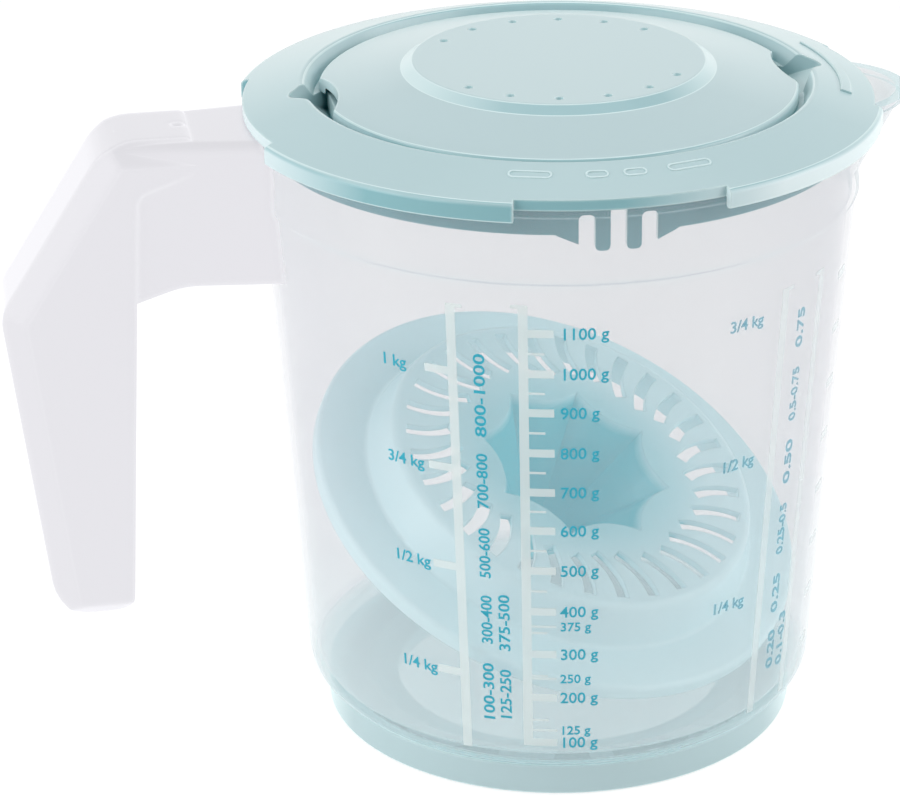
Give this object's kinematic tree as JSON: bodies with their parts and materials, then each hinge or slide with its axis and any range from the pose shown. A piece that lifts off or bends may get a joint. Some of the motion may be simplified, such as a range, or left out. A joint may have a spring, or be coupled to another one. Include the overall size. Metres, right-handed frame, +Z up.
{
  "type": "measuring jug",
  "caption": "Clear measuring jug with a side handle, pouring spout, foot ring, two-part lid with a pouring comb, and a loose citrus juicer insert lying inside.",
  "frame": {"origin": "on the jug's axis, at the plane that the foot ring stands on", "axes": "+Z up along the jug's axis, +X from the handle towards the spout"},
  "size_m": [0.2015, 0.1374, 0.1526],
  "materials": {
    "clear_wall": "clear, slightly milky",
    "milky_handle": "translucent, satin",
    "mint_foot": "satin",
    "mint_lid": "satin",
    "mint_cover": "satin",
    "mint_insert": "translucent"
  },
  "bodies": {
    "jug": {"jug_body": "clear_wall", "jug_handle": "milky_handle", "base_ring": "mint_foot"},
    "lid": {"lid_ring": "mint_lid"},
    "cover": {"lid_cover": "mint_cover"},
    "insert": {"juicer": "mint_insert"}
  },
  "joints": [
    {"name": "lid_lift", "type": "slide", "parent": "jug", "child": "lid", "axis": [0, 0, 1], "range_m": [0, 0.06]},
    {"name": "cover_lift", "type": "slide", "parent": "lid", "child": "cover", "axis": [0, 0, 1], "range_m": [0, 0.04]},
    {"name": "insert_lift", "type": "slide", "parent": "jug", "child": "insert", "axis": [0, 0, 1], "range_m": [0, 0.045]}
  ]
}
